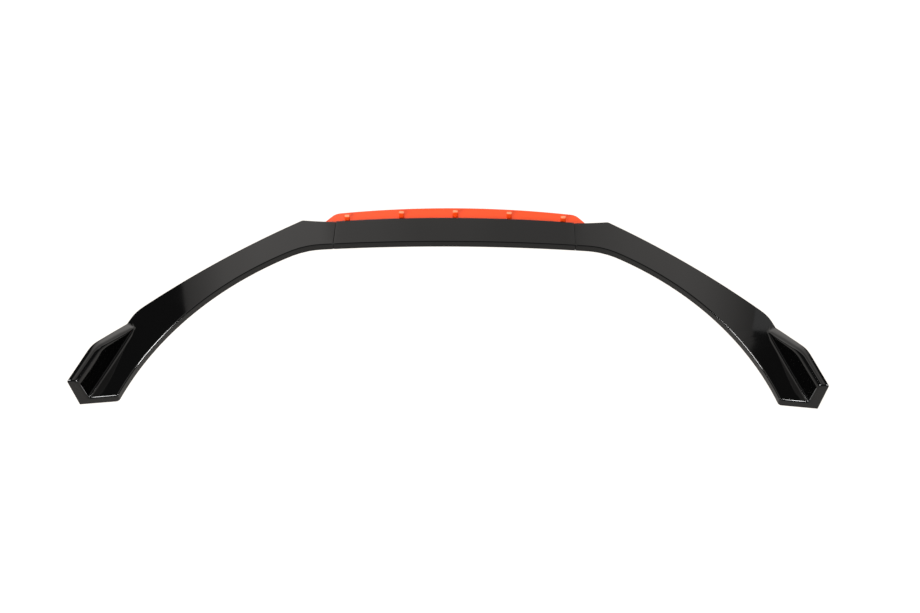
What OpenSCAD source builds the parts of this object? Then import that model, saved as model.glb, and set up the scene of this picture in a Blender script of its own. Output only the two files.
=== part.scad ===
// Front splitter lip for a car: a moulded centre section, a left and a right section that
// sweep back and end in an upright winglet, and a thin accent blade under the front edge.
// +X is to the car's right, +Y to its front, +Z up. The rim stands on z = 0.

/* [Lip profile] */
// Height of the flat top above the rim
lip_h = 17; // [15:0.5:22]
// Wall thickness of the moulded sections
wall = 3; // [2:0.25:3.5]
// Rounding of the rolled edges
edge_r = 3.5; // [1.5:0.25:4.5]
// Draft of the upright walls, in degrees
draft = 1; // [0:0.25:3]
// Thickness of the stiffening ribs under the top
rib_t = 2.2; // [1.5:0.1:3]
// Height that the ribs stay above the ground
rib_clear = 6; // [4:0.5:9]
// Distance between the cross ribs of a side section
rib_pitch = 110; // [70:5:160]

/* [Centre section] */
// Distance from the middle to each seam
seam_x = 303.7; // [270:1:330]
// Gap left at each seam
seam_gap = 0.8; // [0.2:0.1:2]
// Rounding of the edges along a seam
seam_r = 0.8; // [0.3:0.1:1.5]
// Depth of the centre section, rear to front, in the middle
centre_depth = 92.6; // [85:0.5:105]
// Radius of the centre section's rear edge
rear_r = 3834; // [3000:10:5000]
// Radius of the centre section's front edge
front_r = 2840; // [2500:10:4000]

/* [Side sections, rear edge] */
// Length from the seam to the bend
lead_len = 28; // [20:1:36]
// Length of the bend
bend_len = 81.5; // [70:0.5:92]
// Angle that the bend turns
bend_turn = 28.2; // [25:0.2:31]
// Length of the long sweep to the tail
sweep_len = 596; // [570:1:625]
// Angle that the long sweep turns
sweep_turn = 44.4; // [41:0.2:47]

/* [Side sections, front edge] */
// Step back of the front edge at the seam
seam_step = 2; // [0:0.25:3]
// Length of the hollow waist beside the seam
waist_len = 82.3; // [70:0.1:95]
// Angle that the waist turns forwards
waist_turn = 6.2; // [3:0.2:9]
// Rounding of the shoulder corner
shoulder_r = 10; // [5:0.5:20]
// Angle that the shoulder corner turns
shoulder_turn = 42.1; // [40:0.1:44]
// Length of the flank behind the shoulder
flank_len = 464.7; // [440:0.1:480]
// Angle that the flank turns
flank_turn = 12.8; // [11:0.2:15]
// Length of the hip, where the flank runs into the tail
hip_len = 40.1; // [30:0.1:60]
// Angle that the hip turns
hip_turn = 26; // [24:0.2:28]
// Length of the straight tail
tail_len = 268.4; // [255:0.1:285]
// Rounding of the tail's rear corner
tail_corner_r = 6; // [4:0.5:12]

/* [Winglet] */
// Height of the winglet above the flat top
fin_h = 61; // [40:1:75]
// Width of the winglet at its foot
fin_foot = 23; // [20:0.5:30]
// Lean of the winglet's outer face, in degrees
fin_lean = 8; // [5:0.5:11]
// Lean of the winglet's inner face, in degrees
fin_slope = 11; // [8:0.5:16]
// Height of the rounding of the winglet's inner top edge
crest_round_h = 12; // [6:0.5:16]
// Width of the same rounding, across the crest
crest_round_w = 17; // [8:0.5:18]
// Length of the winglet, from its tip to the tail end
fin_len = 244; // [200:1:250]
// Length of its level crest
crest_len = 113; // [80:1:140]
// Rounding where the rising edge meets the crest
crest_r = 40; // [20:1:70]
// Rounding in the crease between the top and the winglet
crease_r = 6; // [2:0.5:8]

/* [Accent blade] */
// Height of the blade's top above the ground
blade_z = 7; // [6.5:0.25:8]
// Thickness of the blade
blade_t = 3.5; // [3:0.25:3.5]
// Reach of the blade in front of the centre section
blade_reach = 47.5; // [35:0.5:60]
// Radius of the blade's front edge
blade_r = 1930; // [1500:10:2400]
// Half width of the blade at its front corners
blade_corner_x = 297; // [280:1:305]
// Rounding of the front corners
blade_corner_r = 30; // [15:1:45]
// Angle of the slanted ends, measured from the car's middle line
blade_end_angle = 37; // [30:1:45]
// Half width of the hidden flange
blade_half = 341; // [335:1:350]
// Width of the hidden flange behind the front edge
flange_w = 30; // [26:0.5:32]
// Bevel at the flange's rear corners
flange_bevel = 3; // [1:0.5:6]
// Rounding of the blade's edges
blade_edge_r = 1; // [0.4:0.1:1.5]

/* [Lugs on the blade] */
// Number of lugs, and of screws through the flange
lugs = 5; // [3:2:5]
// Distance from one lug to the next
lug_pitch = 138; // [120:1:140]
// Width of a lug
lug_w = 14; // [10:0.5:18]
// Depth of a lug, rear to front
lug_d = 9; // [7:0.5:14]
// Height of a lug above the blade
lug_h = 18.5; // [12:0.5:22]
// Distance from the blade's front edge back to a lug
lug_set = 28; // [24:0.5:32]
// Rounding of a lug's upright corners
lug_corner_r = 3.2; // [2:0.1:3.4]
// Rounding of a lug's top
lug_top_r = 3; // [0.5:0.1:3.1]
// Fillet at a lug's foot
lug_fillet_r = 1; // [0.5:0.1:2]

/* [Joints and screws] */
// Length of the tongue that reaches under the centre section
tongue_len = 52; // [45:1:70]
// Width of the tongue
tongue_w = 44; // [38:0.5:45]
// Thickness of the tongue
tongue_t = 3; // [2.5:0.25:4]
// Rounding of the tongue's corners
tongue_corner_r = 6; // [3:0.5:9]
// Gap between the tongue and the rear wall beside it
tongue_gap = 2; // [1:0.25:4]
// Distance between the two screws of a tongue
tongue_pitch = 22; // [18:0.5:26]
// Distance from the seam to the screws of a tongue
tongue_screw_x = 28; // [20:1:40]
// Length of the spigot that closes a seam from inside
spigot_len = 8; // [5:0.5:12]
// Thickness of the spigot
spigot_t = 2; // [1.5:0.25:3]
// Diameter of the screw bosses
boss_d = 10; // [8:0.25:12]
// Width of the gussets across a boss
gusset_w = 19; // [14:0.5:24]
// Height of the gussets' lower edge above the bosses' ends
gusset_rise = 3.5; // [2:0.25:5]
// Diameter of the pilot bores in the bosses
pilot_d = 3.5; // [3:0.1:3.8]
// Depth of the pilot bores
pilot_depth = 7; // [6:0.25:7.5]
// Diameter of the screws' plain core
screw_d = 3.4; // [2.8:0.1:3.6]
// Diameter of the clearance holes for the screws
hole_d = 4.6; // [4.2:0.1:5.2]
// Length of the screws under the head
screw_len = 9.5; // [8:0.25:10]
// Diameter of the screw heads
head_d = 8; // [7:0.25:9]
// Height of the screw heads
head_h = 2.2; // [1.8:0.1:2.4]
// Length of the screws' pointed end
tip_h = 2; // [1:0.25:3]
// Width of the slots of the cross recess in a head
drive_w = 0.9; // [0.7:0.1:1.2]
// Length of the slots of the cross recess
drive_l = 3.2; // [2.8:0.1:4]
// Outer diameter of the washers
washer_d = 12; // [10:0.25:14]
// Thickness of the washers
washer_t = 0.8; // [0.6:0.1:0.9]
// Play between pieces that slide past each other
play = 0.3; // [0.2:0.05:0.6]

/* [Hidden] */
black = "#141414";
red = "#f2492a";
steel = "#9a9a9c";
round_steps = 4;

// Small vector helpers
function unit(v) = v / norm(v);
function mix(a, b, t) = a + (b - a) * t;
function clamp01(t) = max(0, min(1, t));
function ease(t) = let (c = clamp01(t)) c * c * (3 - 2 * c);
function flatten(lists) = [for (l = lists) for (p = l) p];

// Outline of a band's edge, as pieces of [length, turn to the right in degrees]
function step_on(p, heading, l, turn) =
    let (chord = turn == 0 ? l : 2 * l / (turn * PI / 180) * sin(turn / 2))
    p + chord * [cos(heading - turn / 2), sin(heading - turn / 2)];
function along(pieces, s, p, heading, k = 0) =
    let (l = pieces[k][0], turn = pieces[k][1])
    s <= l || k == len(pieces) - 1
        ? step_on(p, heading, s, turn * s / l)
        : along(pieces, s - l, step_on(p, heading, l, turn), heading - turn, k + 1);

// The centre section's two edges, before the whole part is centred on its box
function rear_y(x) = sqrt(rear_r * rear_r - x * x) - rear_r;
function front_y(x) = centre_depth + sqrt(front_r * front_r - x * x) - front_r;

// The side sections' two edges, from the seam to the tail
side_x = seam_x + seam_gap / 2;
rear_heading = -asin(side_x / rear_r);
rear_pieces = [[lead_len, lead_len / rear_r * 180 / PI], [bend_len, bend_turn], [sweep_len, sweep_turn]];
rear_total = lead_len + bend_len + sweep_len;
shoulder_len = shoulder_r * shoulder_turn * PI / 180;
front_pieces = [[waist_len, -waist_turn], [shoulder_len, shoulder_turn], [flank_len, flank_turn],
                [hip_len, hip_turn], [tail_len, 0]];
front_total = waist_len + shoulder_len + flank_len + hip_len + tail_len;
function rear_at(s) = along(rear_pieces, s, [side_x, rear_y(side_x)], rear_heading);
function front_at(s) = along(front_pieces, s, [side_x, front_y(side_x) - seam_step], 0);

// Places where a section across the band is drawn, as [from the tail end along the rear edge,
// from the tail end along the front edge, steps since the place before]
rear_share = 0.79;
low_tip = 12;
waist_rear = 2 * lead_len;
function fanned(b, steps) = [b * rear_share, b, steps];
spans = [
    [rear_total, front_total, 0],
    [rear_total - waist_rear, front_total - waist_len, 5],
    [rear_total - waist_rear - shoulder_len, front_total - waist_len - shoulder_len, 4],
    fanned(hip_len + tail_len, 20),
    fanned(tail_len, 5),
    fanned(fin_len, 3),
    fanned(fin_len - low_tip, 3),
    fanned(crest_len + crest_r / 2, 5),
    fanned(crest_len - crest_r / 2, 5),
    [tail_corner_r, tail_corner_r, 4],
    [wall, wall, 2],
];
marks = concat(
    [[spans[0][0] - wall, spans[0][1] - wall]],
    [for (k = [1:len(spans) - 1]) for (i = [1:spans[k][2]]) let (t = i / spans[k][2])
        [mix(spans[k - 1][0], spans[k][0], t), mix(spans[k - 1][1], spans[k][1], t)]]);
span_pairs = [for (i = [len(spans) - 1:-1:0]) [spans[i][1], spans[i][0]]];
rib_marks = [for (b = [rib_pitch:rib_pitch:front_total - waist_len]) [lookup(b, span_pairs), b]];

// Rise of the winglet and lean of the outer wall, b from the tail end along the front edge
function rise(b) =
    let (climb = fin_len - crest_len, slope = fin_h / climb, q = fin_len - b, r = crest_r / 2)
    q <= 0 ? 0
    : q < climb - r ? slope * q
    : q > climb + r ? fin_h
    : slope * q - slope * (q - climb + r) * (q - climb + r) / (4 * r);
function lean(b) = mix(-draft, fin_lean, ease((hip_len + tail_len - b) / (hip_len + tail_len - fin_len)));

// How far a rounded end draws a face in, b before the end
function drawn_in(b, r) = b >= r ? 0 : r - sqrt(r * r - (r - b) * (r - b));

// A rounded corner of a section line, as a short curve that starts `before` the corner at p and ends
// `after` it. A plain corner has the same length on both sides.
function soft_corner(a, p, c, before, after, steps) =
    let (u = p + min(before, 0.45 * norm(p - a)) * unit(a - p),
         v = p + min(after, 0.76 * norm(c - p)) * unit(c - p))
    [for (i = [0:steps]) let (t = i / steps) (1 - t) * (1 - t) * u + 2 * t * (1 - t) * p + t * t * v];
function corner(a, p, c, r, steps = round_steps) =
    let (s = min(r, 0.45 * norm(p - a), 0.45 * norm(c - p))) soft_corner(a, p, c, s, s, steps);

// Outer line of a section with a winglet of height h, as [across the band, up], from the rear foot
// round to the front foot. top, rear and outer say how far those faces are drawn in.
corner_room = 6;
crest_steps = 6;
function finned_line(width, h, tilt, top = 0, rear = 0, outer = 0) =
    let (deck = lip_h - top, crest = deck + h, foot = width - fin_foot, apart = max(0, corner_room - h),
         a = [rear, 0],
         b = [rear + deck * tan(draft), deck],
         c = [foot + top * (1 / cos(fin_slope) - tan(fin_slope)), deck],
         d = c + [h * tan(fin_slope) + apart, h],
         e = [width - outer + crest * tan(tilt), crest],
         f = [width - outer, 0])
    concat([a], corner(a, b, c, edge_r), [mix(b, c, 0.5)], corner(b, c, d, crease_r, 3),
           soft_corner(c, d, e, crest_round_h, crest_round_w, crest_steps), corner(d, e, f, edge_r), [f]);

// A line of the same section that lies `deep` inside it, with its two feet at height `low`
function finned_inside(width, h, tilt, deep, low = 0, rear = 0) =
    let (deck = lip_h - deep, crest = deck + h, apart = max(0, corner_room - h),
         back = rear + deep, face = width - deep / cos(tilt), less = deep * tan(45 - fin_slope / 2),
         c = [width - fin_foot + deep * (1 / cos(fin_slope) - tan(fin_slope)), deck],
         d = c + [h * tan(fin_slope) + apart, h],
         e = [face + crest * tan(tilt), crest])
    concat([[back + low * tan(draft), low], [back + deck * tan(draft), deck], c],
           soft_corner(c, d, e, crest_round_h - less, crest_round_w - less, 3),
           [e, [face + low * tan(tilt), low]]);

// The same two lines for a plain section without a winglet
function plain_line(width, in = 0) =
    let (deck = lip_h - in, a = [in, 0], b = [in + deck * tan(draft), deck],
         c = [width - in - deck * tan(draft), deck], d = [width - in, 0])
    concat([a], corner(a, b, c, edge_r), [mix(b, c, 0.5)], corner(b, c, d, edge_r), [d]);
function plain_cavity(width) =
    let (deck = lip_h - wall)
    [[wall, 0], [wall + deck * tan(draft), deck],
     [width - wall - deck * tan(draft), deck], [width - wall, 0]];

// A section line set up between its point on the rear edge and its point on the front edge
function stand(line, rear, front) =
    let (u = unit(front - rear)) [for (p = line) [rear[0] + p[0] * u[0], rear[1] + p[0] * u[1], p[1]]];

// Rings of a side section, rounded off at the tail and at the seam
function side_ring(mark) =
    let (rear = rear_at(rear_total - mark[0]), front = front_at(front_total - mark[1]), b = mark[1],
         top = max(drawn_in(b, edge_r), drawn_in(front_total - b, seam_r)),
         rear_in = max(drawn_in(b, tail_corner_r), drawn_in(front_total - b, seam_r)))
    stand(finned_line(norm(front - rear), rise(b), lean(b), top, rear_in, top), rear, front);
function side_cavity_ring(mark) =
    let (rear = rear_at(rear_total - mark[0]), front = front_at(front_total - mark[1]), b = mark[1])
    stand(finned_inside(norm(front - rear), rise(b), lean(b), wall, 0,
                        drawn_in(b - wall, tail_corner_r - wall)),
          rear, front);
tail_caps = [for (t = [0.5, 0.2, 0.05, 0]) [t * wall, t * wall]];
seam_caps = [for (t = [0, 0.3, 1]) [rear_total - t * seam_r, front_total - t * seam_r]];

// Rings of the centre section, x across the car
centre_end = seam_x - seam_gap / 2;
centre_steps = 18;
centre_marks = [for (i = [0:centre_steps]) mix(-centre_end + wall, centre_end - wall, i / centre_steps)];
function centre_ring(x) =
    stand(plain_line(front_y(x) - rear_y(x), drawn_in(centre_end - abs(x), seam_r)),
          [x, rear_y(x)], [x, front_y(x)]);
function centre_cavity_ring(x) =
    stand(plain_cavity(front_y(x) - rear_y(x)), [x, rear_y(x)], [x, front_y(x)]);
centre_caps = [for (t = [0, 0.3, 1]) centre_end - t * seam_r];

// The whole part is centred on its box: the tail end of a winglet at the back, the blade in front
tail_y = min([for (m = tail_caps) for (p = side_ring(m)) p[1]]);
blade_front_y = centre_depth + blade_reach;
middle_y = (tail_y + blade_front_y) / 2;

// A hollow section from its outer rings and its inner rings, open below. The outer rings have `first`
// and `last` extra ones that close the two ends, and the end walls fan out from `set` behind the front foot.
module shell_from(outer, inner, first, last, set) {
    m = len(outer[0]);
    k = len(inner[0]);
    n = len(outer);
    c = len(inner);
    start = n * m;
    caps = start + c * k;
    function o(i, j) = i * m + j;
    function q(i, j) = start + i * k + j;
    function foot_of(ring, l) = ring[l - 1] + set * unit(ring[0] - ring[l - 1]);
    foot_points = [foot_of(outer[0], m), foot_of(inner[0], k),
                   foot_of(outer[n - 1], m), foot_of(inner[c - 1], k)];
    skin = [for (i = [0:n - 2]) for (j = [0:m - 2])
        each [[o(i, j), o(i, j + 1), o(i + 1, j + 1)], [o(i, j), o(i + 1, j + 1), o(i + 1, j)]]];
    cavity = [for (i = [0:c - 2]) for (j = [0:k - 2])
        each [[q(i, j), q(i + 1, j + 1), q(i, j + 1)], [q(i, j), q(i + 1, j), q(i + 1, j + 1)]]];
    ends = [for (j = [0:m - 2]) each [[caps, j + 1, j], [caps + 2, o(n - 1, j), o(n - 1, j + 1)]]];
    cavity_ends = [for (j = [0:k - 2])
        each [[caps + 1, q(0, j), q(0, j + 1)], [caps + 3, q(c - 1, j + 1), q(c - 1, j)]]];
    rear_rim = [for (i = [0:c - 2]) let (a = o(first + i, 0), b = o(first + i + 1, 0))
        each [[a, b, q(i + 1, 0)], [a, q(i + 1, 0), q(i, 0)]]];
    front_rim = [for (i = [0:c - 2]) let (a = o(first + i, m - 1), b = o(first + i + 1, m - 1))
        each [[q(i, k - 1), q(i + 1, k - 1), b], [q(i, k - 1), b, a]]];
    start_rim = concat(
        [for (i = [0:first - 1])
            each [[q(0, 0), o(i, 0), o(i + 1, 0)], [q(0, k - 1), o(i + 1, m - 1), o(i, m - 1)]]],
        [[q(0, 0), caps, o(0, 0)], [q(0, 0), caps + 1, caps],
         [q(0, k - 1), o(0, m - 1), caps], [q(0, k - 1), caps, caps + 1]]);
    end_rim = concat(
        [for (i = [n - 1 - last:n - 2])
            each [[q(c - 1, 0), o(i, 0), o(i + 1, 0)], [q(c - 1, k - 1), o(i + 1, m - 1), o(i, m - 1)]]],
        [[q(c - 1, 0), o(n - 1, 0), caps + 2], [q(c - 1, 0), caps + 2, caps + 3],
         [q(c - 1, k - 1), caps + 3, caps + 2], [q(c - 1, k - 1), caps + 2, o(n - 1, m - 1)]]);
    polyhedron(points = concat(flatten(outer), flatten(inner), foot_points),
               faces = concat(skin, cavity, ends, cavity_ends, rear_rim, front_rim, start_rim, end_rim));
}

// A convex outline, counter-clockwise, drawn in by d
function draw_in(outline, d) = let (n = len(outline)) [for (i = [0:n - 1])
    let (u = unit(outline[i] - outline[(i + n - 1) % n]), v = unit(outline[(i + 1) % n] - outline[i]),
         inward = unit([-u[1] - v[1], u[0] + v[0]]))
    outline[i] + inward * d / max(0.5, inward * [-u[1], u[0]])];

// A solid of stacked outlines, each layer as [height, how far it is drawn in]
module stacked(outline, layers) {
    n = len(outline);
    top = (len(layers) - 1) * n;
    sides = [for (k = [0:len(layers) - 2]) for (i = [0:n - 1])
        let (a = k * n + i, b = k * n + (i + 1) % n)
        each [[a, a + n, b + n], [a, b + n, b]]];
    lids = [for (i = [1:n - 2]) each [[0, i, i + 1], [top, top + i + 1, top + i]]];
    polyhedron(points = [for (l = layers) for (p = draw_in(outline, l[1])) [p[0], p[1], l[0]]],
               faces = concat(sides, lids));
}

// Screw places, on the blade's flange and on the tongues
lug_xs = [for (i = [0:lugs - 1]) (i - (lugs - 1) / 2) * lug_pitch];
flange_inset = wall + play + washer_d / 2;
blade_screws = [for (x = lug_xs) [x, front_y(x) - flange_inset]];
tongue_far = seam_x - tongue_len;
tongue_y = rear_y(tongue_far) + wall + tongue_gap + tongue_w / 2;
tongue_x = seam_x - tongue_screw_x;
seam_screws = [for (side = [-1, 1]) for (k = [-1, 1]) [side * tongue_x, tongue_y + k * tongue_pitch / 2]];
tongue_top = blade_z;
tongue_z = tongue_top - tongue_t;
blade_under = blade_z - blade_t;

// Hanging boss under the top, for a screw from below, with two crossed gussets
module boss(at) {
    roof = lip_h - wall / 2;
    translate([at[0], at[1], blade_z]) cylinder(d = boss_d, h = roof - blade_z, $fn = 48);
    for (turn = [0, 90])
        translate([at[0], at[1], blade_z + gusset_rise]) rotate(turn)
            translate([-gusset_w / 2, -rib_t / 2, 0]) cube([gusset_w, rib_t, roof - blade_z - gusset_rise]);
}
module pilot(at) {
    translate([at[0], at[1], blade_z - 1]) cylinder(d = pilot_d, h = pilot_depth + 1, $fn = 32);
}

// Room that the blade's flange takes under the front edges of the three sections
flange_rear_y = front_y(blade_half) - flange_w;
slot_rear_y = flange_rear_y - play;
module blade_slot() {
    translate([-blade_half - play, slot_rear_y, -1])
        cube([2 * (blade_half + play), blade_front_y - slot_rear_y, blade_z + play + 1]);
}

// Cross rib of a side section, between the middles of its walls and up into the winglet
module side_rib(mark) {
    rear = rear_at(rear_total - mark[0]);
    front = front_at(front_total - mark[1]);
    translate([rear[0], rear[1], 0])
        rotate(atan2(front[1] - rear[1], front[0] - rear[0]))
            rotate([90, 0, 0])
                linear_extrude(rib_t, center = true)
                    polygon(finned_inside(norm(front - rear), rise(mark[1]), lean(mark[1]),
                                          wall / 2, rib_clear));
}

// Spigot of a side section, which fits inside the open end of the centre section
spigot_far = centre_end - spigot_len;
spigot_rear = rear_y(spigot_far) + wall + play;
spigot_front = front_y(centre_end) - wall - play;
function arch(inset) =
    let (d = lip_h - wall - play - inset, rear = spigot_rear + inset, front = spigot_front - inset)
    [[rear, play], [rear + d * tan(draft), d], [front - d * tan(draft), d], [front, play]];
function turned_back(list) = [for (i = [len(list) - 1:-1:0]) list[i]];
module spigot() {
    translate([spigot_far, 0, 0]) rotate([90, 0, 90]) linear_extrude(side_x + wall / 2 - spigot_far)
        polygon(concat(arch(0), turned_back(arch(spigot_t))));
}
module open_end() {
    x = centre_end - wall;
    translate([x - seam_r, rear_y(x), 0]) rotate([90, 0, 90]) linear_extrude(wall + 2 * seam_r)
        polygon([for (p = plain_cavity(front_y(x) - rear_y(x))) [p[0], p[1] > 0 ? p[1] : -1]]);
}

module tongue() {
    reach = side_x + wall / 2 - tongue_far;
    rr = tongue_corner_r;
    translate([tongue_far, tongue_y - tongue_w / 2, tongue_z])
        difference() {
            union() {
                translate([rr, 0, 0]) cube([reach - rr, tongue_w, tongue_t]);
                translate([0, rr, 0]) cube([2 * rr, tongue_w - 2 * rr, tongue_t]);
                for (y = [rr, tongue_w - rr]) translate([rr, y, 0]) cylinder(r = rr, h = tongue_t, $fn = 48);
            }
            for (k = [-1, 1])
                translate([tongue_x - tongue_far, (tongue_w + k * tongue_pitch) / 2, -1])
                    cylinder(d = hole_d, h = tongue_t + 2, $fn = 32);
        }
}

module side_section() {
    difference() {
        union() {
            shell_from([for (m = concat(seam_caps, marks, tail_caps)) side_ring(m)],
                       [for (m = marks) side_cavity_ring(m)], len(seam_caps), len(tail_caps), fin_foot / 2);
            for (m = rib_marks) side_rib(m);
            spigot();
        }
        blade_slot();
    }
    tongue();
}

// Cross rib of the centre section, from its rear wall to its front wall
module centre_rib(x) {
    translate([x - rib_t / 2, rear_y(x) + wall / 2, rib_clear])
        cube([rib_t, front_y(x) - rear_y(x) - wall, lip_h - wall / 2 - rib_clear]);
}

module centre_shell() {
    difference() {
        union() {
            shell_from([for (x = concat(-1 * centre_caps, centre_marks, [for (i = [2:-1:0]) centre_caps[i]]))
                            centre_ring(x)],
                       [for (x = centre_marks) centre_cavity_ring(x)],
                       len(centre_caps), len(centre_caps), centre_depth / 3);
            for (i = [0:lugs - 2]) centre_rib((lug_xs[i] + lug_xs[i + 1]) / 2);
        }
        blade_slot();
        open_end();
        mirror([1, 0, 0]) open_end();
    }
}

module centre_section() {
    color(black) translate([0, -middle_y, 0])
        difference() {
            union() {
                centre_shell();
                for (at = concat(blade_screws, seam_screws)) boss(at);
            }
            for (at = concat(blade_screws, seam_screws)) pilot(at);
        }
}

module left_section() {
    color(black) translate([0, -middle_y, 0]) mirror([1, 0, 0]) side_section();
}

module right_section() {
    color(black) translate([0, -middle_y, 0]) side_section();
}

// Outline of the right half of the blade, from the middle of its front edge round to its hidden flange
function blade_arc_y(x) = blade_front_y + sqrt(blade_r * blade_r - x * x) - blade_r;
corner_start = asin(blade_corner_x / blade_r);
corner_turn = 90 - blade_end_angle - corner_start;
corner_centre = [blade_corner_x, blade_arc_y(blade_corner_x)]
    - blade_corner_r * [sin(corner_start), cos(corner_start)];
corner_stop = corner_start + corner_turn;
corner_end = corner_centre + blade_corner_r * [sin(corner_stop), cos(corner_stop)];
slant = (blade_half - corner_end[0]) / tan(blade_end_angle);
blade_half_line = concat(
    [for (i = [0:12]) let (x = blade_corner_x * i / 12) [x, blade_arc_y(x)]],
    [for (i = [1:6]) let (a = corner_start + corner_turn * i / 6)
        corner_centre + blade_corner_r * [sin(a), cos(a)]],
    [[blade_half, corner_end[1] - slant], [blade_half, flange_rear_y + flange_bevel],
     [blade_half - flange_bevel, flange_rear_y]]);
half_count = len(blade_half_line);
blade_line = concat(
    [for (i = [half_count - 1:-1:0]) blade_half_line[i]],
    [for (i = [1:half_count - 1]) [-blade_half_line[i][0], blade_half_line[i][1]]]);
edge_steps = [0, 0.3, 1];
blade_layers = concat(
    [for (t = edge_steps) [blade_under + t * blade_edge_r, drawn_in(t * blade_edge_r, blade_edge_r)]],
    [for (i = [2:-1:0]) let (t = edge_steps[i])
        [blade_z - t * blade_edge_r, drawn_in(t * blade_edge_r, blade_edge_r)]]);

// Outline of a lug, a rectangle with rounded corners, and its layers from the fillet to the round top
lug_line = [for (k = [0:3]) for (a = [0, 45, 90])
    let (sx = k == 0 || k == 3 ? 1 : -1, sy = k < 2 ? 1 : -1, t = a + 90 * k)
    [sx * (lug_w / 2 - lug_corner_r), sy * (lug_d / 2 - lug_corner_r)] + lug_corner_r * [cos(t), sin(t)]];
lug_round = min(lug_top_r, lug_corner_r - 0.1);
lug_layers = concat(
    [[blade_z - blade_edge_r, -lug_fillet_r]],
    [for (t = [0, 0.3, 1]) [blade_z + t * lug_fillet_r, -drawn_in(t * lug_fillet_r, lug_fillet_r)]],
    [for (t = [1, 0.6, 0.3, 0.1, 0]) [blade_z + lug_h - t * lug_round, drawn_in(t * lug_round, lug_round)]]);

module accent_blade() {
    color(red) translate([0, -middle_y, 0])
        difference() {
            union() {
                stacked(blade_line, blade_layers);
                for (x = lug_xs)
                    translate([x, blade_arc_y(x) - lug_set - lug_d / 2, 0]) stacked(lug_line, lug_layers);
            }
            for (at = blade_screws) translate([at[0], at[1], blade_under - 1])
                cylinder(d = hole_d, h = blade_t + 2, $fn = 32);
        }
}

// Self-tapping pan-head screw, pointing up, with the underside of its head at z = 0
head_flat = 0.28;
head_line = concat(
    [[0, -head_h], [head_d * head_flat, -head_h]],
    [for (a = [15, 35, 55, 75])
        [head_d * (head_flat + (0.5 - head_flat) * sin(a)), -head_h * (0.35 + 0.65 * cos(a))]],
    [[head_d / 2, 0], [0, 0]]);
module screw() {
    color(steel)
        difference() {
            union() {
                rotate_extrude($fn = 48) polygon(head_line);
                cylinder(d = screw_d, h = screw_len - tip_h, $fn = 32);
                translate([0, 0, screw_len - tip_h])
                    cylinder(d1 = screw_d, d2 = screw_d / 4, h = tip_h, $fn = 32);
            }
            for (a = [0, 90])
                rotate(a) translate([-drive_l / 2, -drive_w / 2, -1.5 * head_h])
                    cube([drive_l, drive_w, head_h]);
        }
}

module washer() {
    color(steel)
        difference() {
            cylinder(d = washer_d, h = washer_t, $fn = 64);
            translate([0, 0, -1]) cylinder(d = hole_d, h = washer_t + 2, $fn = 32);
        }
}

module placed(at, z) {
    translate([at[0], at[1] - middle_y, z]) children();
}

centre_section();
left_section();
right_section();
accent_blade();
for (i = [0:3]) {
    at = seam_screws[i];
    low = tongue_z - washer_t;
    placed(at, low) screw();
    placed(at, low) washer();
}
for (i = [0:lugs - 1]) {
    at = blade_screws[i];
    low = blade_under - washer_t;
    placed(at, low) screw();
    placed(at, low) washer();
}
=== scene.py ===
# %% [markdown]
# # A glossy front splitter lip on white
#
# The object is a car's front lip in three hollow black mouldings, with an orange-red blade
# screwed under the front edge. Its solids come from the CAD frame, in metres, and stay where
# they are. This file gives them a camera, a white studio, smooth gloss surfaces and real
# materials. It goes from the frame, through the camera and the light, to one finish at a time.

# %% Load the frame
import bpy
import math
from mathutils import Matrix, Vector


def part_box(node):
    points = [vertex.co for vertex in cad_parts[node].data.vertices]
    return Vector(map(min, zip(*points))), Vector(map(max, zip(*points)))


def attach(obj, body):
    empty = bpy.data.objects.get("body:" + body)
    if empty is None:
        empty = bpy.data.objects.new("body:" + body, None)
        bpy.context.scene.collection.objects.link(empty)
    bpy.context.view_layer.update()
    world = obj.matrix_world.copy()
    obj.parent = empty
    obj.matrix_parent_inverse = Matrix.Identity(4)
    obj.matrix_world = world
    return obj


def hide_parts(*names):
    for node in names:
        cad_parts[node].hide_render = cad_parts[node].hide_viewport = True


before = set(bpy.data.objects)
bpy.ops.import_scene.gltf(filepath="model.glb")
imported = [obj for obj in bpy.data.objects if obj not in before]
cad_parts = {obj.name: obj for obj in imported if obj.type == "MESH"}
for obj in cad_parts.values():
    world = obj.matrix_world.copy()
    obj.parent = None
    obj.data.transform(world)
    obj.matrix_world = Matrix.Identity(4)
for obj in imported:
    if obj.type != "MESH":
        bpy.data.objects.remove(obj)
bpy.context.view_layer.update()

# %% [markdown]
# ## The camera
#
# The lip is seen from behind and above, 45 degrees down, from about 3 m. A long lens from
# further off would flatten the two arms, and a wide one would spread them, so the lens follows
# from how much nearer and larger the arms look than the middle. A small shift keeps the lip
# where the frame has it, which costs nothing in perspective.

# %% Camera
IMAGE_W = 920                          # pixels across the frame
FOCAL_PX = 1310                        # focal length in the same pixels
CENTRE_PX = 491.9                      # column that the lens axis passes through
SENSOR_MM = 36
CAMERA_AT = (0.0951, -2.2421, 2.2301)
TILT, ROLL = 44.93, 0.339              # degrees

camera = bpy.data.cameras.new("camera")
camera.sensor_width = SENSOR_MM
camera.lens = FOCAL_PX / IMAGE_W * SENSOR_MM
camera.shift_x = (IMAGE_W / 2 - CENTRE_PX) / IMAGE_W
camera_object = bpy.data.objects.new("camera", camera)
camera_object.location = CAMERA_AT
camera_object.rotation_euler = (math.radians(TILT), 0, 0)
camera_object.rotation_euler.rotate_axis("Z", math.radians(ROLL))
bpy.context.scene.collection.objects.link(camera_object)
bpy.context.scene.camera = camera_object
bpy.context.scene.view_settings.view_transform = "Standard"
print("lens", round(camera.lens, 2), "mm, shift", round(camera.shift_x, 4))

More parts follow.
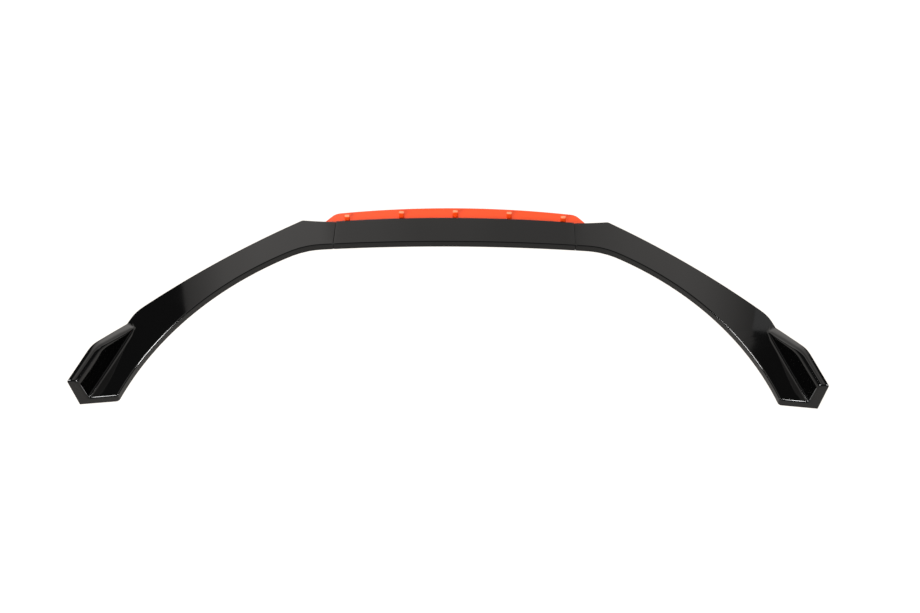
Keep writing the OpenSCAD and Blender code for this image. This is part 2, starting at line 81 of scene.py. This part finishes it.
# %% [markdown]
# ## Small helpers for materials
#
# Colours are written as the sRGB hex that a colour picker shows, while shaders work in linear
# light, so one function converts. Another adds a node with its settings and its links, which
# keeps each material to a short list of nodes that reads from top to bottom. The Mix node has
# one set of sockets for values and one for colours, under the same names, so they are reached
# by number, and the numbers get names here.

# %% Colour and node helpers
FACTOR, VALUE_A, VALUE_B, VALUE_OUT = 0, 2, 3, 0
COLOUR_A, COLOUR_B, COLOUR_OUT = 6, 7, 2


def linear(colour):
    """An sRGB hex string as linear red, green, blue and alpha."""
    parts = [int(colour[i:i + 2], 16) / 255 for i in (1, 3, 5)]
    return [c / 12.92 if c <= 0.04045 else ((c + 0.055) / 1.055) ** 2.4 for c in parts] + [1.0]


def add_node(tree, kind, inputs=None, **settings):
    """Adds a node. An input is a plain value, or another node's output to link from."""
    node = tree.nodes.new(kind)
    for name, value in settings.items():
        setattr(node, name, value)
    for name, value in (inputs or {}).items():
        if isinstance(value, bpy.types.NodeSocket):
            tree.links.new(value, node.inputs[name])
        else:
            node.inputs[name].default_value = value
    return node


def larger(tree, first, second):
    """The larger of two values. Between two switches that are 0 or 1 it means `or`."""
    return add_node(tree, "ShaderNodeMath", {0: first, 1: second}, operation="MAXIMUM").outputs[0]


def new_material(name):
    """An empty material and its node tree."""
    material = bpy.data.materials.new(name)
    material.use_nodes = True
    material.node_tree.nodes.clear()
    return material, material.node_tree


print("grey picked as #808080 is", [round(v, 4) for v in linear("#808080")[:3]], "in linear light")

# %% [markdown]
# ## The white floor
#
# Product pictures like this one are taken on a white sweep that is lit until it burns out.
# Turning the lamps up would also wash out the object. Here the floor is a real white surface
# that takes the lamps and the shadow, and rays from the camera, and rays that bounce off gloss,
# see it mixed with a plain white glow. The glow is dimmer for the gloss, because the real sweep
# is only bright close to the part, and it sets how light the black side walls look.

# %% Floor
FLOOR_M = 14
GLOW_SHARE = 0.9           # the rest is the paper itself, with the object's shadow
GLOW_SEEN = 1.15           # over 1, so that paper and glow together are white
GLOW_MIRRORED = 0.53


def deselect_all():
    bpy.ops.object.select_all(action="DESELECT")


def white_sweep(name, tint, glow_tint):
    """White paper that keeps its shadows. A share of white glow burns it out for the camera."""
    material, tree = new_material(name)
    path = add_node(tree, "ShaderNodeLightPath").outputs
    mirrored = larger(tree, path["Is Glossy Ray"], path["Is Transmission Ray"])
    sees_glow = larger(tree, path["Is Camera Ray"], mirrored)
    share = add_node(tree, "ShaderNodeMath", {0: sees_glow, 1: GLOW_SHARE}, operation="MULTIPLY")
    strength = add_node(tree, "ShaderNodeMapRange",
                        {"Value": mirrored, "To Min": GLOW_SEEN, "To Max": GLOW_MIRRORED})
    paper = add_node(tree, "ShaderNodeBsdfDiffuse", {"Color": linear(tint)})
    glow = add_node(tree, "ShaderNodeEmission",
                    {"Color": linear(glow_tint), "Strength": strength.outputs[0]})
    mixed = add_node(tree, "ShaderNodeMixShader",
                     {0: share.outputs[0], 1: paper.outputs[0], 2: glow.outputs[0]})
    add_node(tree, "ShaderNodeOutputMaterial", {"Surface": mixed.outputs[0]})
    return material


deselect_all()
bpy.ops.mesh.primitive_plane_add(size=FLOOR_M, location=(0, 0, 0))
floor = bpy.context.active_object
floor.name = "floor"
floor.data.materials.append(white_sweep("white_paper", "#EFEAE4", "#FFFBF6"))
print("floor", [round(v, 2) for v in floor.dimensions])

# %% [markdown]
# ## Light
#
# A black gloss surface has almost no colour of its own: what the eye reads is what it mirrors.
# Seen 45 degrees down, the flat tops mirror what stands in front of the lip, so a large white
# card there turns them from black to an even dark grey. It is lit from its two sides, which
# makes it brighter near its ends than in its middle. Past its ends the tops fall back to black,
# with a weak second card on the right.
#
# Two softboxes hang above, left and right. They are there for the gloss alone: they draw the
# thin bright lines on the rolled edges of the arms and on the ends. What colour there is, above
# all the red, takes its light from two more boxes, kept out of the mirror. One hangs above and
# lights the blade's top. The other stands behind the camera, to its left and lower, so that the
# feet and the right sides of the blade's lugs fall into shade. Lamps that do one task each are
# easier to set than lamps that do more. The camera sees none of them.

# %% Softboxes and cards
# Brightness across the back card, as (x in metres, share of a white that just clips)
CARD_LEVELS = [(-1.31, 0.42), (-1.2, 0.68), (-1.1, 0.96), (-0.92, 1.1), (-0.65, 1.05),
               (-0.57, 0.79), (-0.4, 0.74), (-0.22, 0.62), (0.0, 0.61), (0.12, 0.545),
               (0.42, 0.535), (0.5, 0.67), (0.7, 0.84), (0.95, 0.91), (1.06, 0.84),
               (1.2, 0.57), (1.31, 0.33)]
CARD_W, CARD_H = 2.62, 4.5
CARD_Y = 2.0


def softbox(name, place, aim, width, height, radiance, mirrored=True, lights_colour=True):
    """A rectangular lamp that faces `aim`. Radiance is how white it looks in a mirror."""
    lamp = bpy.data.lights.new(name, "AREA")
    lamp.shape = "RECTANGLE"
    lamp.size, lamp.size_y = width, height
    lamp.energy = radiance * width * height * math.pi
    lamp_object = bpy.data.objects.new(name, lamp)
    lamp_object.location = place
    lamp_object.rotation_euler = (Vector(aim) - Vector(place)).to_track_quat("-Z", "Y").to_euler()
    lamp_object.visible_camera = False
    lamp_object.visible_glossy = mirrored
    lamp_object.visible_diffuse = lights_colour
    bpy.context.scene.collection.objects.link(lamp_object)
    return lamp_object


def shade_across(lamp_object, levels):
    """Makes a lamp brighter or darker across its width."""
    lamp = lamp_object.data
    lamp.use_nodes = True
    tree = lamp.node_tree
    tree.nodes.clear()
    half = lamp.size / 2
    surface = add_node(tree, "ShaderNodeNewGeometry")
    place = add_node(tree, "ShaderNodeSeparateXYZ", {0: surface.outputs["Position"]})
    t = add_node(tree, "ShaderNodeMapRange",
                 {"Value": place.outputs["X"], "From Min": -half, "From Max": half})
    ramp = add_node(tree, "ShaderNodeValToRGB", {"Fac": t.outputs["Result"]})
    stops = ramp.color_ramp.elements
    ramp.color_ramp.interpolation = "LINEAR"
    while len(stops) < len(levels):
        stops.new(0.5)
    for stop, (x, level) in zip(stops, levels):
        stop.position = (x + half) / lamp.size
        stop.color = (level, level, level, 1)
    shade = add_node(tree, "ShaderNodeEmission", {"Color": ramp.outputs["Color"], "Strength": 1.0})
    add_node(tree, "ShaderNodeOutputLight", {"Surface": shade.outputs[0]})


card_z = CARD_H / 2
card = softbox("back_card", (0.0, CARD_Y, card_z), (0.0, 0.0, card_z), CARD_W, CARD_H, 1.0)
card.data.color = linear("#FFFBF7")[:3]
shade_across(card, CARD_LEVELS)
softbox("side_card", (1.7, CARD_Y, 1.83), (1.7, 0.0, 1.83), 0.78, 0.76, 0.55)

# The two boxes for the gloss hang nearly level. The small slant inwards sets which way they lie.
softbox("left_softbox", (-2.05, 0.57, 2.0), (-1.9, 0.57, 0.0), 0.56, 1.8, 34.0,
        lights_colour=False)
softbox("right_softbox", (2.05, 0.49, 2.0), (1.9, 0.49, 0.0), 0.48, 1.8, 54.0,
        lights_colour=False)

# The two boxes for colour are aimed at the blade
BLADE_AT = (0.0, 0.3, 0.0)
softbox("fill_softbox", (-1.6, -2.8, 1.7), BLADE_AT, 1.4, 1.0, 28.0, mirrored=False)
softbox("top_softbox", (0.0, 0.6, 2.6), BLADE_AT, 2.0, 1.2, 3.9, mirrored=False)

# %% [markdown]
# ## The room
#
# The world stands for the room around the set: white for the camera, and a dim even fill for
# the colours. The gloss sees pale walls low down that fade to a dark ceiling, so that the lip
# still has something to mirror from its other sides. They fade sooner towards the front, where
# the card stands, which keeps the dark zones beside the card black.

# %% World
ROOM_FILL = 0.35
WALL_MIRRORED, CEILING_MIRRORED = 0.5, 0.05
CEILING_FROM = 0.55        # height of a direction at which the ceiling starts
FRONT_LIFT = 0.6           # how much higher a direction counts when it points to the front

world = bpy.data.worlds.new("studio")
bpy.context.scene.world = world
world.use_nodes = True
sky = world.node_tree
sky.nodes.clear()
path = add_node(sky, "ShaderNodeLightPath").outputs
way = add_node(sky, "ShaderNodeTexCoord")
axes = add_node(sky, "ShaderNodeSeparateXYZ", {0: way.outputs["Generated"]}).outputs
height = add_node(sky, "ShaderNodeMath", {0: axes["Y"], 1: FRONT_LIFT, 2: axes["Z"]},
                  operation="MULTIPLY_ADD")
walls = add_node(sky, "ShaderNodeMapRange",
                 {"Value": height.outputs[0], "From Min": 0.0, "From Max": CEILING_FROM,
                  "To Min": WALL_MIRRORED, "To Max": CEILING_MIRRORED})
room = add_node(sky, "ShaderNodeMix", {FACTOR: path["Is Glossy Ray"], VALUE_A: ROOM_FILL,
                                       VALUE_B: walls.outputs["Result"]})
strength = larger(sky, path["Is Camera Ray"], room.outputs[VALUE_OUT])
background = add_node(sky, "ShaderNodeBackground", {"Color": (1, 1, 1, 1), "Strength": strength})
add_node(sky, "ShaderNodeOutputWorld", {"Surface": background.outputs[0]})
print("world:", world.name, "nodes:", len(sky.nodes))

# %% [markdown]
# ## Gloss black ABS
#
# The three sections are injection moulded in black ABS against a polished tool, the finish that
# the trade calls piano black. The eye sees a near black body under a mirror of about 4 percent,
# very slightly wavy where the melt shrank over the ribs and along the flow. So the base colour
# stays close to black, the IOR is that of ABS, and a shallow wave of a few centimetres bends the
# reflections. A finer haze in the roughness stands for wiping marks.

# %% Material: gloss black ABS
HAZE_MM = 140              # size of the hazy patches


def gloss_plastic(name, colour, ior, smooth, hazy, wave_mm, wave_depth_mm):
    """Polished moulded plastic. Its roughness runs from `smooth` to `hazy`."""
    material, tree = new_material(name)
    place = add_node(tree, "ShaderNodeTexCoord").outputs["Object"]
    wave = add_node(tree, "ShaderNodeTexNoise",
                    {"Vector": place, "Scale": 1000 / wave_mm, "Detail": 1.0, "Roughness": 0.4})
    bump = add_node(tree, "ShaderNodeBump", {"Height": wave.outputs["Fac"], "Strength": 1.0,
                                             "Distance": wave_depth_mm / 1000})
    haze = add_node(tree, "ShaderNodeTexNoise",
                    {"Vector": place, "Scale": 1000 / HAZE_MM, "Detail": 4.0, "Roughness": 0.6})
    rough = add_node(tree, "ShaderNodeMapRange",
                     {"Value": haze.outputs["Fac"], "From Min": 0.35, "From Max": 0.7,
                      "To Min": smooth, "To Max": hazy})
    shader = add_node(tree, "ShaderNodeBsdfPrincipled",
                      {"Base Color": linear(colour), "IOR": ior,
                       "Roughness": rough.outputs["Result"], "Normal": bump.outputs["Normal"]})
    add_node(tree, "ShaderNodeOutputMaterial", {"Surface": shader.outputs[0]})
    return material


black_abs = gloss_plastic("gloss_black_abs", "#040404", ior=1.52, smooth=0.03, hazy=0.06,
                          wave_mm=40, wave_depth_mm=0.02)
print(black_abs.name, "nodes:", len(black_abs.node_tree.nodes))

# %% [markdown]
# ## The black sections with smooth rolled edges
#
# The CAD solids are faceted: a rolled edge is a strip of flat faces. On a mirror finish every
# facet would show. Each section is copied, its loose triangles are merged, pairs of them become
# four-sided faces, and it is shaded smooth except at true corners. Weighted normals then let
# the large flat faces keep their own direction, so that the whole turn happens on the narrow
# strips of the rolled edge, as on the real moulding. More faces would give the same picture at
# a higher cost.

# %% Smooth copies of the three sections
MERGE_M = 0.00001
PAIR_ANGLE = math.radians(40)          # triangles that turn less than this are paired
SHARP_ANGLE = math.radians(32)         # edges that turn more than this stay corners
FLAT_FACE_WEIGHT = 80                  # over 50, so that large faces decide the normals


def smooth_copy(node, name, material):
    """A merged copy of a CAD node's mesh, shaded smooth with its flat faces kept flat."""
    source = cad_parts[node]
    piece = bpy.data.objects.new(name, source.data.copy())
    piece.data.name = name
    bpy.context.scene.collection.objects.link(piece)
    deselect_all()
    piece.select_set(True)
    bpy.context.view_layer.objects.active = piece
    bpy.ops.object.mode_set(mode="EDIT")
    bpy.ops.mesh.select_all(action="SELECT")
    bpy.ops.mesh.remove_doubles(threshold=MERGE_M)
    bpy.ops.mesh.tris_convert_to_quads(face_threshold=PAIR_ANGLE, shape_threshold=PAIR_ANGLE)
    bpy.ops.object.mode_set(mode="OBJECT")
    bpy.ops.object.shade_smooth_by_angle(angle=SHARP_ANGLE)
    weighted = piece.modifiers.new("weighted", "WEIGHTED_NORMAL")
    weighted.keep_sharp = True
    weighted.weight = FLAT_FACE_WEIGHT
    bpy.ops.object.modifier_apply(modifier=weighted.name)
    piece.data.materials.clear()
    piece.data.materials.append(material)
    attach(piece, "root")
    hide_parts(node)
    return piece


for node in ("centre_section", "left_section", "right_section"):
    section = smooth_copy(node, node + "_moulding", black_abs)
    print(section.name, len(section.data.vertices), "points", len(section.data.polygons), "faces")

# %% [markdown]
# ## Orange-red ABS
#
# The blade is moulded in a coloured ABS. It keeps its colour through the whole thickness, so it
# has no paint edge, and it is glossy but less polished than the black: its highlights are a bit
# wider. The lugs' tops are paler: a painted highlight, a lighter colour that stands in for the
# lamps' glint on their rounded tops. So the colour changes with height, over less than 2 mm.

# %% Material and blade
# The paler red is a painted highlight on the lugs' tops, standing in for the lamps' glint.
BLADE_RED, PAINTED_HIGHLIGHT_RED = "#FC4E18", "#FF9A70"
HIGHLIGHT_FROM_M, HIGHLIGHT_TO_M = 0.0025, 0.0008    # below the lugs' tops


def paint_highlight_on_top(material, top, colour, highlight_colour):
    """Paints a highlight: fades a plastic to a paler colour just below the height `top`."""
    tree = material.node_tree
    place = add_node(tree, "ShaderNodeTexCoord")
    axes = add_node(tree, "ShaderNodeSeparateXYZ", {0: place.outputs["Object"]})
    # Mask of the painted highlight: 0 below, 1 at the lugs' tops.
    highlight_mask = add_node(tree, "ShaderNodeMapRange",
                       {"Value": axes.outputs["Z"], "From Min": top - HIGHLIGHT_FROM_M,
                        "From Max": top - HIGHLIGHT_TO_M})
    tone = add_node(tree, "ShaderNodeMix", {FACTOR: highlight_mask.outputs["Result"],
                                            COLOUR_A: linear(colour),
                                            COLOUR_B: linear(highlight_colour)}, data_type="RGBA")
    shader = next(n for n in tree.nodes if n.type == "BSDF_PRINCIPLED")
    tree.links.new(tone.outputs[COLOUR_OUT], shader.inputs["Base Color"])


red_abs = gloss_plastic("orange_red_abs", BLADE_RED, ior=1.5, smooth=0.09, hazy=0.14,
                        wave_mm=30, wave_depth_mm=0.01)
# Paints a highlight on the tops of the blade's lugs.
paint_highlight_on_top(red_abs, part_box("accent_blade")[1][2], BLADE_RED, PAINTED_HIGHLIGHT_RED)
blade = smooth_copy("accent_blade", "accent_blade_moulding", red_abs)
print(blade.name, len(blade.data.vertices), "points", len(blade.data.polygons), "faces")

# %% [markdown]
# ## Zinc-plated screws and washers
#
# The fasteners sit under the lip, where only somebody who turns it over sees them. They are
# steel with a bright zinc coat. The coat is fine-grained, which blurs the reflections, and it
# turns slightly blue-grey. They keep their CAD shape, with a cross recess in each head.

# %% Material: zinc plate
GRAIN_MM = 1.5

zinc_plate, tree = new_material("zinc_plated_steel")
place = add_node(tree, "ShaderNodeTexCoord")
grain = add_node(tree, "ShaderNodeTexNoise", {"Vector": place.outputs["Object"],
                                              "Scale": 1000 / GRAIN_MM, "Detail": 3.0})
tone = add_node(tree, "ShaderNodeMix", {FACTOR: grain.outputs["Fac"],
                                        COLOUR_A: linear("#A9ACB0"),
                                        COLOUR_B: linear("#C9CBCD")}, data_type="RGBA")
rough = add_node(tree, "ShaderNodeMapRange",
                 {"Value": grain.outputs["Fac"], "To Min": 0.28, "To Max": 0.45})
metal = add_node(tree, "ShaderNodeBsdfPrincipled",
                 {"Base Color": tone.outputs[COLOUR_OUT], "Metallic": 1.0,
                  "Roughness": rough.outputs["Result"]})
add_node(tree, "ShaderNodeOutputMaterial", {"Surface": metal.outputs[0]})

fasteners = [o for name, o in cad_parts.items() if "screw" in name or "washer" in name]
for o in fasteners:
    o.data.materials.clear()
    o.data.materials.append(zinc_plate)
print("zinc plate on", len(fasteners), "fasteners")
